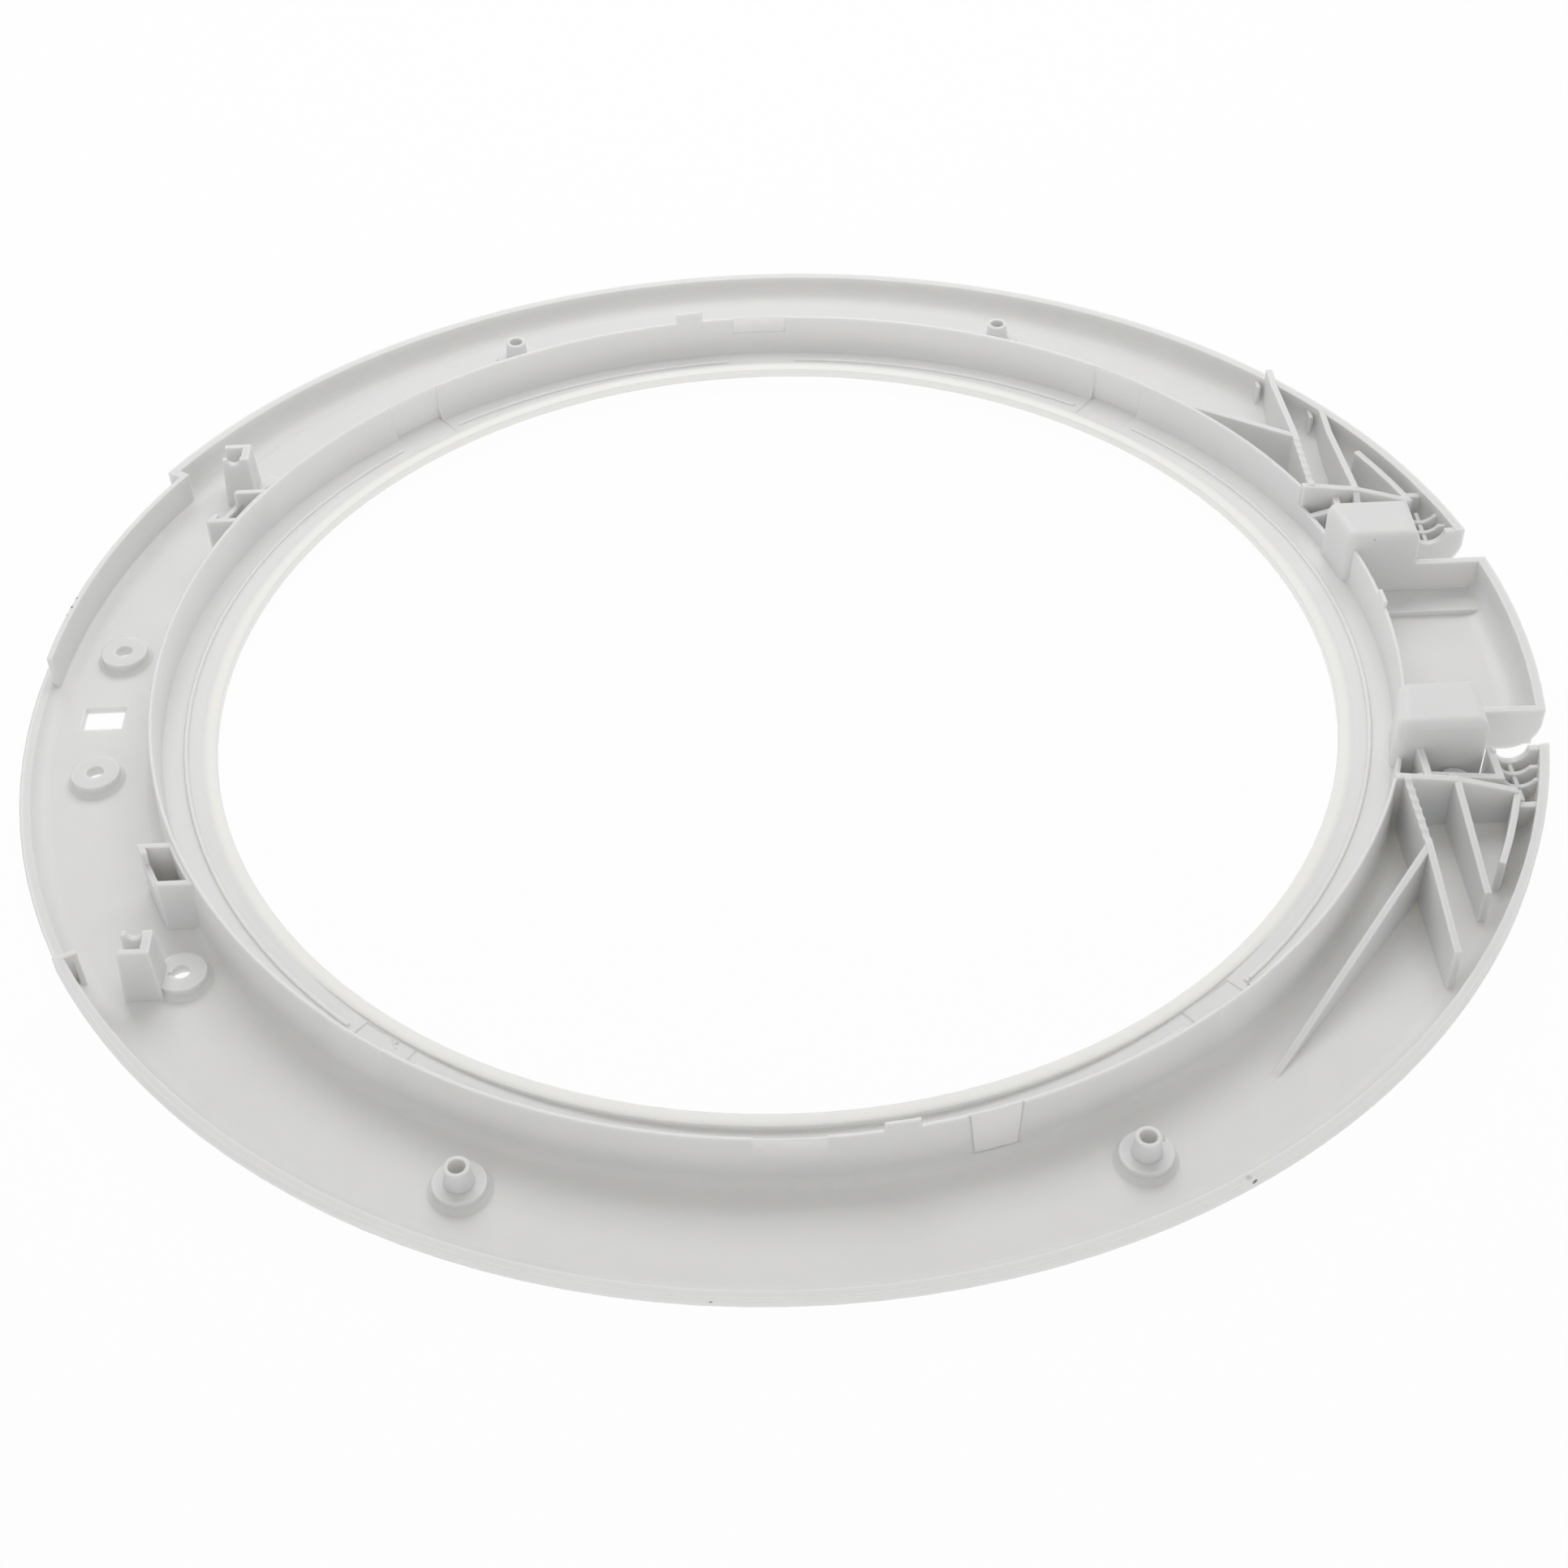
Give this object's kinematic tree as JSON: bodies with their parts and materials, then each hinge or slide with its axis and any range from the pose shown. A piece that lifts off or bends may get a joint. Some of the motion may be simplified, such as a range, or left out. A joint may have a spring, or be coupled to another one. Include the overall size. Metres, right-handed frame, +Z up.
{
  "type": "washing machine inner door frame",
  "caption": "Round moulded inner frame of a washing machine door: a channel ring around the glass hole, with hinge ribs and caps, latch slot, screw bosses and pads.",
  "frame": {"origin": "middle of the glass hole, on the resting plane under the channel floor", "axes": "+Z up out of the ribbed side, +X from the latch side to the hinge side"},
  "size_m": [0.4033, 0.4044, 0.0237],
  "materials": {
    "white_plastic": "satin"
  },
  "bodies": {
    "root": {"inner_door_frame": "white_plastic"}
  },
  "joints": []
}
